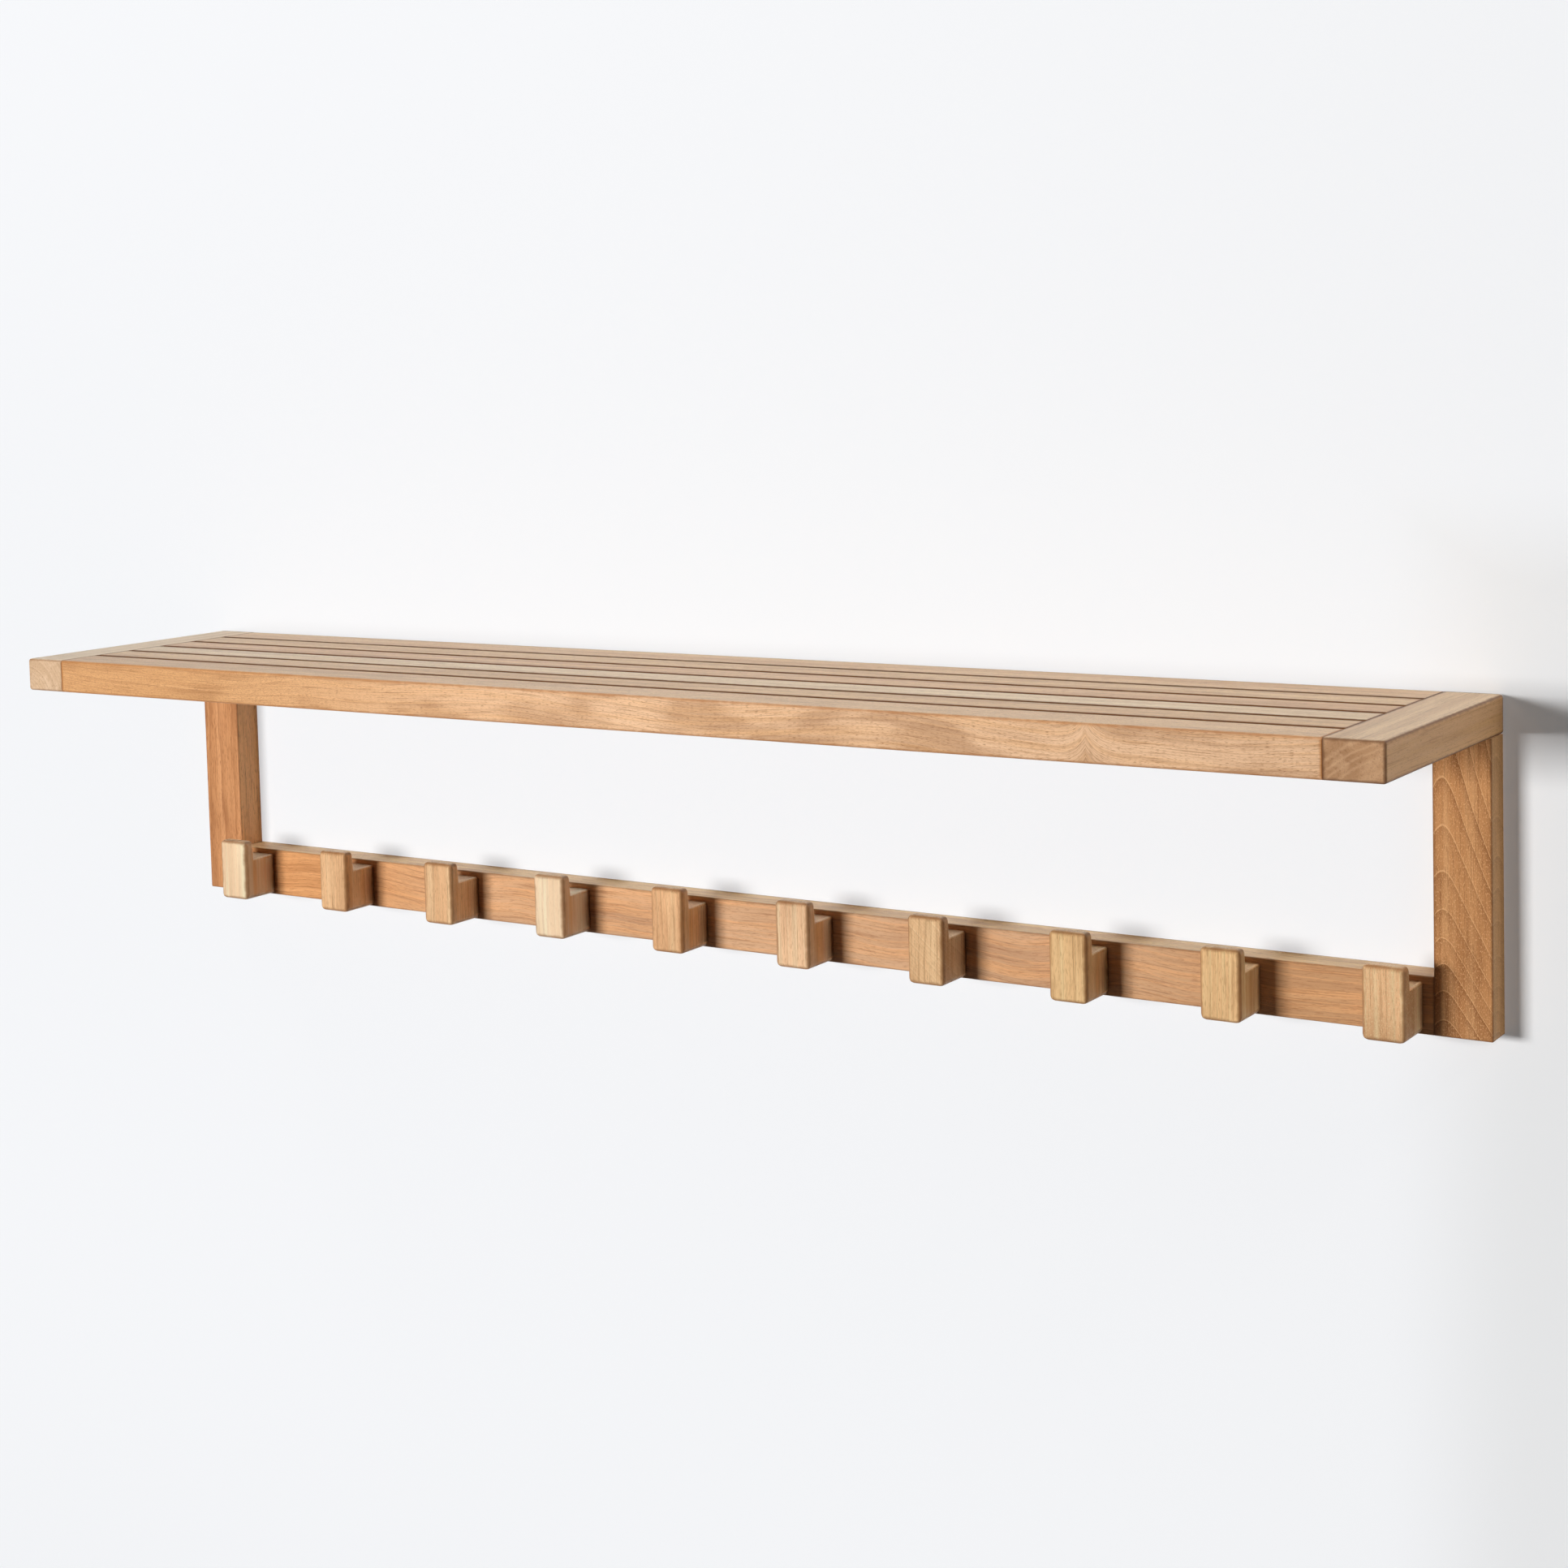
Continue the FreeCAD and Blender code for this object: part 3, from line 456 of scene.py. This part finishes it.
def addHook(node, look):  # the hook's side view, drawn out over its width, with hand-rounded edges
    low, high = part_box(node)
    seat = low.z + hookShape["seat"]
    outline = [(high.y, low.z), (low.y, low.z), (low.y, high.z), (low.y + hookShape["lipTop"], high.z),
               (low.y + hookShape["lipFoot"], seat), (high.y, seat)]
    count = len(outline)
    points = [(x, y, z) for x in (low.x, high.x) for y, z in outline]
    faces = [tuple(reversed(range(count))), tuple(range(count, 2 * count))]
    faces += [(i, (i + 1) % count, (i + 1) % count + count, i + count) for i in range(count)]
    mesh = bpy.data.meshes.new(node + "_shown")
    mesh.from_pydata(points, [], faces)
    shares = {(1, 2): "nose", (0, 1): "corner", (2, 3): "corner", (3, 4): "lip", (4, 5): "seatEdge",
              (1, 1): "nose", (2, 2): "nose", (3, 3): "lip"}  # by the outline's points at an edge's two ends
    weights = mesh.attributes.new("bevel_weight_edge", "FLOAT", "EDGE")
    for edge in mesh.edges:
        ends = tuple(sorted(point % count for point in edge.vertices))
        weights.data[edge.index].value = hookShape[shares[ends]] if ends in shares else 0.0
    mesh.polygons.foreach_set("use_smooth", [True] * len(mesh.polygons))
    mesh.materials.append(teakMaterial(node + "_teak", look, low, high, "z"))
    piece = addObject(node + "_shown", mesh)
    rounding = piece.modifiers.new("rounding", "BEVEL")
    rounding.width = hookShape["round"]
    rounding.segments = hookShape["segments"]
    rounding.limit_method = "WEIGHT"
    rounding.harden_normals = True
    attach(piece, "root")
    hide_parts(node)


for number, look in enumerate(hooks, start=1):
    node = "hook_%02d" % number
    middleX = (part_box(node)[0].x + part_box(node)[1].x) / 2
    own = {"seed": hookLog["firstSeed"] + hookLog["seedStep"] * number,
           "heart": (middleX - hookLog["toLeft"], hookLog["inFront"], 0)}
    addHook(node, dict(hookFigure, **own, **look))
print("wood finished")


# Hanger plates and screws

metalShape = {"tarnish": (90, 90, 90), "tarnishSpan": (0.45, 0.75), "scratches": (1500, 1500, 110),
              "scratchSpan": (0.66, 0.72), "scratchShare": 0.6, "roughRange": 0.3, "roughLess": 0.1, "bump": 0.5}
plateSteel = {"colour": (0.60, 0.60, 0.58), "dull": (0.34, 0.34, 0.33), "bright": (0.80, 0.80, 0.79),
              "roughness": 0.34, "stretch": (900, 900, 60), "seed": 5.0, "relief": 0.00002}
screwSteel = {"colour": (0.66, 0.62, 0.50), "dull": (0.36, 0.32, 0.22), "bright": (0.82, 0.79, 0.70),
              "roughness": 0.30, "stretch": (700, 700, 700), "seed": 9.0, "relief": 0.00001}


def buildMetal():
    tree, given, result = newGroup(
        "platedSteel",
        [("Vector", "Vector", (0, 0, 0)), ("Seed", "Float", 0), ("Stretch", "Vector", (60, 900, 900))],
        [("Brushing", "Float"), ("Tarnish", "Float"), ("Scratch", "Float")])
    brushed = addNode(tree, "VectorMath", {0: given["Vector"], 1: given["Stretch"]}, operation="MULTIPLY").outputs[0]
    tree.links.new(noise(tree, brushed, 3.0, 0.6), result["Brushing"])
    cloudy = stretched(tree, given["Vector"], metalShape["tarnish"], given["Seed"])
    tree.links.new(noise(tree, cloudy, 4.0, 0.6), result["Tarnish"])
    lines = noise(tree, stretched(tree, given["Vector"], metalShape["scratches"], given["Seed"]), 1.0)
    tree.links.new(span(tree, lines, *metalShape["scratchSpan"]), result["Scratch"])
    return tree


metalGroup = buildMetal()


def metalMaterial(name, look):
    material, tree, shader = newMaterial(name)
    figure = addNode(tree, "Group", {"Vector": addNode(tree, "TexCoord").outputs["Object"], "Seed": look["seed"],
                                     "Stretch": look["stretch"]}, node_tree=metalGroup).outputs
    colour, dull, bright = (solid(look[key]) for key in ("colour", "dull", "bright"))
    shade = blendColour(tree, span(tree, figure["Tarnish"], *metalShape["tarnishSpan"]), colour, dull)
    shade = blendColour(tree, work(tree, "MULTIPLY", figure["Scratch"], metalShape["scratchShare"]), shade, bright)
    tree.links.new(shade, shader.inputs["Base Color"])
    shader.inputs["Metallic"].default_value = 1.0
    rough = work(tree, "MULTIPLY_ADD", figure["Brushing"], metalShape["roughRange"],
                 look["roughness"] - metalShape["roughLess"])
    tree.links.new(rough, shader.inputs["Roughness"])
    bump = addNode(tree, "Bump", {"Height": figure["Brushing"], "Strength": metalShape["bump"],
                                  "Distance": look["relief"]})
    tree.links.new(bump.outputs[0], shader.inputs["Normal"])
    return material


plateMaterial = metalMaterial("plateSteel", plateSteel)
for node in ("hanger_plate_left", "hanger_plate_right"):
    dress(node, plateMaterial)

screwMaterial = metalMaterial("screwSteel", screwSteel)

hookScrews = {"node": "hook_screws", "slot": "screw_steel", "radius": 0.00195, "headRadius": 0.00392,
              "headFoot": 0.00392, "headHeight": 0.003, "length": 0.0478, "back": -0.0021, "columns": 10}
hangerScrews = {"node": "hanger_screws", "slot": "screw_steel", "radius": 0.0017, "headRadius": 0.0034,
                "headFoot": 0.0017, "headHeight": 0.0017, "length": 0.0158, "back": -0.0001, "columns": 2}
screwShape = {"point": 0.0038, "pitch": 0.0013, "thread": 0.00035, "slotWidth": 0.0009, "slotDepth": 0.0014,
              "slotReach": 1.2, "tip": 0.0001, "sides": 24, "turnSteps": 14, "threadSides": 3, "inset": 0.00008}


def buildScrewTree():  # one screw along Z with its head on top, turned to face the wall at every given point
    tree = bpy.data.node_groups.new("screwsAtPoints", "GeometryNodeTree")
    tree.interface.new_socket("Points", in_out="INPUT", socket_type="NodeSocketGeometry")
    for label in ("Radius", "Head Radius", "Head Foot", "Head Height", "Length", "Point", "Pitch", "Thread",
                  "Slot Width", "Slot Depth"):
        tree.interface.new_socket(label, in_out="INPUT", socket_type="NodeSocketFloat")
    tree.interface.new_socket("Steel", in_out="INPUT", socket_type="NodeSocketMaterial")
    tree.interface.new_socket("Screws", in_out="OUTPUT", socket_type="NodeSocketGeometry")
    given = tree.nodes.new("NodeGroupInput").outputs

    def node(kind, values=None, **settings):
        return addNode(tree, "GeometryNode" + kind, values, **settings)

    def lowered(shape, depth):
        shift = addNode(tree, "CombineXYZ", {2: work(tree, "MULTIPLY", depth, -1.0)}).outputs[0]
        return node("Transform", {"Geometry": shape, "Translation": shift}).outputs[0]

    def cone(top, bottom, depth):
        return node("MeshCone", {"Vertices": screwShape["sides"], "Radius Top": top, "Radius Bottom": bottom,
                                 "Depth": depth}).outputs[0]

    def joined(shapes):
        join = node("JoinGeometry")
        for shape in shapes:
            tree.links.new(shape, join.inputs[0])
        return join.outputs[0]

    length = work(tree, "SUBTRACT", given["Length"], given["Head Height"])
    core = work(tree, "SUBTRACT", given["Radius"], given["Thread"])
    shank = work(tree, "SUBTRACT", length, given["Point"])
    shankFoot = work(tree, "ADD", given["Head Height"], shank)
    head = lowered(cone(given["Head Radius"], given["Head Foot"], given["Head Height"]), given["Head Height"])
    size = addNode(tree, "CombineXYZ", {0: work(tree, "MULTIPLY", given["Head Radius"], screwShape["slotReach"]),
                                        1: given["Slot Width"], 2: work(tree, "MULTIPLY", given["Slot Depth"], 2.0)})
    bar = node("MeshCube", {"Size": size.outputs[0]}).outputs[0]
    crossBar = node("Transform", {"Geometry": bar, "Rotation": (0, 0, math.pi / 2)}).outputs[0]
    cut = node("MeshBoolean", {"Mesh 1": head, "Mesh 2": joined((bar, crossBar)), "Self Intersection": True},
               operation="DIFFERENCE", solver="EXACT")
    rod = lowered(cone(core, core, shank), shankFoot)
    tip = lowered(cone(core, screwShape["tip"], given["Point"]), given["Length"])
    helix = node("CurveSpiral", {"Resolution": screwShape["turnSteps"],
                                 "Rotations": work(tree, "DIVIDE", shank, given["Pitch"]),
                                 "Start Radius": core, "End Radius": core, "Height": shank}).outputs[0]
    ridge = node("CurvePrimitiveCircle", {"Resolution": screwShape["threadSides"],
                                          "Radius": given["Thread"]}).outputs[0]
    thread = node("CurveToMesh", {"Curve": helix, "Profile Curve": ridge, "Fill Caps": True}).outputs[0]
    screw = joined((cut.outputs["Mesh"], rod, tip, lowered(thread, shankFoot)))
    facing = node("Transform", {"Geometry": screw, "Rotation": (-math.pi / 2, 0, 0)}).outputs[0]
    placed = node("InstanceOnPoints", {"Points": given["Points"], "Instance": facing}).outputs[0]
    real = node("RealizeInstances", {0: placed}).outputs[0]
    plated = node("SetMaterial", {"Geometry": real, "Material": given["Steel"]}).outputs[0]
    tree.links.new(plated, tree.nodes.new("NodeGroupOutput").inputs[0])
    return tree


screwTree = buildScrewTree()


def addScrews(fitting):
    low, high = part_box(fitting["node"])
    inset = fitting["headRadius"] + screwShape["inset"]
    levels = (low.z + inset, high.z - inset)
    first, last = low.x + inset, high.x - inset
    step = (last - first) / (fitting["columns"] - 1)
    places = [(first + step * column, fitting["back"], level) for column in range(fitting["columns"])
              for level in levels]
    mesh = bpy.data.meshes.new(fitting["node"] + "_places")
    mesh.from_pydata(places, [], [])
    spots = addObject(fitting["node"] + "_places", mesh)
    modifier = spots.modifiers.new("screws", "NODES")
    modifier.node_group = screwTree
    values = {"Radius": fitting["radius"], "Head Radius": fitting["headRadius"],
              "Head Foot": fitting["headFoot"], "Head Height": fitting["headHeight"], "Length": fitting["length"],
              "Point": screwShape["point"], "Pitch": screwShape["pitch"], "Thread": screwShape["thread"],
              "Slot Width": screwShape["slotWidth"], "Slot Depth": screwShape["slotDepth"], "Steel": screwMaterial}
    for socket in screwTree.interface.items_tree:
        if socket.in_out == "INPUT" and socket.name in values:
            modifier[socket.identifier] = values[socket.name]
    result = bpy.data.meshes.new_from_object(spots.evaluated_get(bpy.context.evaluated_depsgraph_get()))
    spots.modifiers.remove(modifier)
    bpy.data.objects.remove(spots)
    screws = addObject(fitting["node"] + "_shown", result)
    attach(screws, "root")
    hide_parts(fitting["node"])
    print(fitting["node"], "made of", len(result.polygons), "faces")


for fitting in (hookScrews, hangerScrews):
    addScrews(fitting)
print("hangers and screws finished")


# Stage: a white wall behind the shelf and a pale floor below

stage = {"wallGap": 0.0005, "floor": -2.2, "halfWidth": 4.5, "top": 3.5, "reach": 6.0, "seeThrough": 0.002,
         "roughness": 0.9, "gloss": 0.1}
wallPaint = {"left": (0.80, 0.81, 0.825), "right": (0.98, 0.99, 1.0), "bounced": None,
             "glowing": (0.95, 0.962, 0.988)}
floorPaint = {"left": (0.30, 0.30, 0.30), "right": (0.30, 0.30, 0.30), "bounced": (0.05, 0.05, 0.05),
              "glowing": None}
evening = {"halfSpan": 0.9, "height": 0.1, "fades": (0.05, 0.9), "held": 0.90}  # evens out the lamps' fall-off
glow = {"most": 0.6, "shaded": 0.12, "falls": (0.50, 0.62), "rises": (0.72, 0.95), "above": (0.11, 0.22),
        "floor": 0.72}


def stageMaterial(name, paint):
    material, tree, shader = newMaterial(name)
    across, _, high = addNode(tree, "SeparateXYZ", {0: addNode(tree, "TexCoord").outputs["Object"]}).outputs
    share = span(tree, across, -evening["halfSpan"], evening["halfSpan"])
    colour = blendColour(tree, share, solid(paint["left"]), solid(paint["right"]))
    distant = span(tree, work(tree, "ABSOLUTE", work(tree, "SUBTRACT", high, evening["height"])), *evening["fades"])
    held = solid((evening["held"],) * 3)
    colour = blendColour(tree, work(tree, "SUBTRACT", 1.0, distant), colour, held, "MULTIPLY")
    rays = addNode(tree, "LightPath").outputs
    if paint["bounced"]:  # what the floor throws back on the object is kept low, as in a deep studio
        colour = blendColour(tree, rays["Is Diffuse Ray"], colour, solid(paint["bounced"]))
    tree.links.new(colour, shader.inputs["Base Color"])
    shader.inputs["Roughness"].default_value = stage["roughness"]
    shader.inputs["Specular IOR Level"].default_value = stage["gloss"]
    lit = shader.outputs[0]
    if paint["glowing"]:  # the camera sees the wall's shadows fainter, but the one beside the right end
        share = work(tree, "ADD", span(tree, across, *glow["falls"], glow["most"], glow["shaded"]),
                     span(tree, across, *glow["rises"], 0.0, glow["most"] - glow["shaded"]))
        share = work(tree, "MAXIMUM", share, span(tree, high, *glow["above"], 0.0, glow["most"]))
        share = work(tree, "MULTIPLY", share, rays["Is Camera Ray"])
        white = addNode(tree, "Emission", {"Color": solid(paint["glowing"])}).outputs[0]
        lit = addNode(tree, "MixShader", {0: share, 1: lit, 2: white}).outputs[0]
    if paint["bounced"]:
        seen = work(tree, "MAXIMUM", rays["Is Camera Ray"], rays["Is Glossy Ray"])
        shine = addNode(tree, "Emission", {"Strength": work(tree, "MULTIPLY", seen, glow["floor"])}).outputs[0]
        lit = addNode(tree, "AddShader", {0: lit, 1: shine}).outputs[0]
    clear = addNode(tree, "BsdfTransparent").outputs[0]
    behind = addNode(tree, "NewGeometry").outputs["Backfacing"]
    touching = work(tree, "LESS_THAN", rays["Ray Length"], stage["seeThrough"])  # light for the object's back
    mix = addNode(tree, "MixShader", {0: work(tree, "MAXIMUM", behind, touching), 1: lit, 2: clear})
    tree.links.new(mix.outputs[0], tree.nodes["Material Output"].inputs["Surface"])
    return material


def addPlane(name, corners, material):
    mesh = bpy.data.meshes.new(name)
    mesh.from_pydata([Vector(corner) for corner in corners], [], [range(4)])
    mesh.materials.append(material)
    plane = addObject(name, mesh)


side, gap, ground = stage["halfWidth"], stage["wallGap"], stage["floor"]
addPlane("wall", [(-side, gap, ground), (side, gap, ground), (side, gap, stage["top"]), (-side, gap, stage["top"])],
         stageMaterial("wallPaint", wallPaint))
addPlane("floor", [(-side, -stage["reach"], ground), (side, -stage["reach"], ground), (side, gap, ground),
                   (-side, gap, ground)], stageMaterial("floorPaint", floorPaint))
print("stage built")


# Lamps

lamps = {
    "key": {"place": (-1.35, -3.55, 0.22), "size": (1.25, 0.7), "power": 155.0, "aim": (0.1, 0, -0.05),
            "mirrored": False},  # it would glare on the shelf's top from behind
    "top": {"place": (-1.3, -0.25, 2.8), "size": (2.2, 0.5), "power": 18.5, "aim": (0, -0.15, 0)},
    "side": {"place": (2.4, -0.12, 1.75), "size": (0.5, 0.4), "power": 28.0, "aim": (0.6, -0.1, 0),
             "colour": (1.0, 0.93, 0.82)},
    "behind": {"place": (0.5, 3.6, 0.6), "size": (2.5, 2.0), "power": 100.0, "aim": (0, 0, 0)},
}
for name, lamp in lamps.items():
    data = bpy.data.lights.new(name, "AREA")
    data.shape = "RECTANGLE"
    data.size, data.size_y = lamp["size"]
    data.energy = lamp["power"]
    data.color = lamp.get("colour", (1, 1, 1))
    lampObject = addObject(name, data)
    lampObject.location = lamp["place"]
    lampObject.visible_glossy = lamp.get("mirrored", True)
    towards = Vector(lamp["aim"]) - Vector(lamp["place"])
    lampObject.rotation_euler = towards.to_track_quat("-Z", "Y").to_euler()

surround = {"fill": 0.010, "seen": 1.0, "mirrored": 0.10, "fillColour": (1.0, 0.90, 0.74)}


def buildWorld():
    world = bpy.data.worlds.new("surround")
    world.use_nodes = True
    tree = world.node_tree
    back = tree.nodes["Background"]
    rays = addNode(tree, "LightPath").outputs
    tint = blendColour(tree, rays["Is Camera Ray"], solid(surround["fillColour"]), (1, 1, 1, 1))
    tree.links.new(tint, back.inputs["Color"])
    clear = work(tree, "MAXIMUM", rays["Is Glossy Ray"], rays["Is Transmission Ray"])
    level = work(tree, "MULTIPLY_ADD", clear, surround["mirrored"] - surround["fill"], surround["fill"])
    level = work(tree, "MULTIPLY_ADD", rays["Is Camera Ray"], surround["seen"] - surround["fill"], level)
    tree.links.new(level, back.inputs["Strength"])
    bpy.context.scene.world = world


buildWorld()
bpy.context.scene.view_settings.view_transform = "Standard"
print("lamps set")
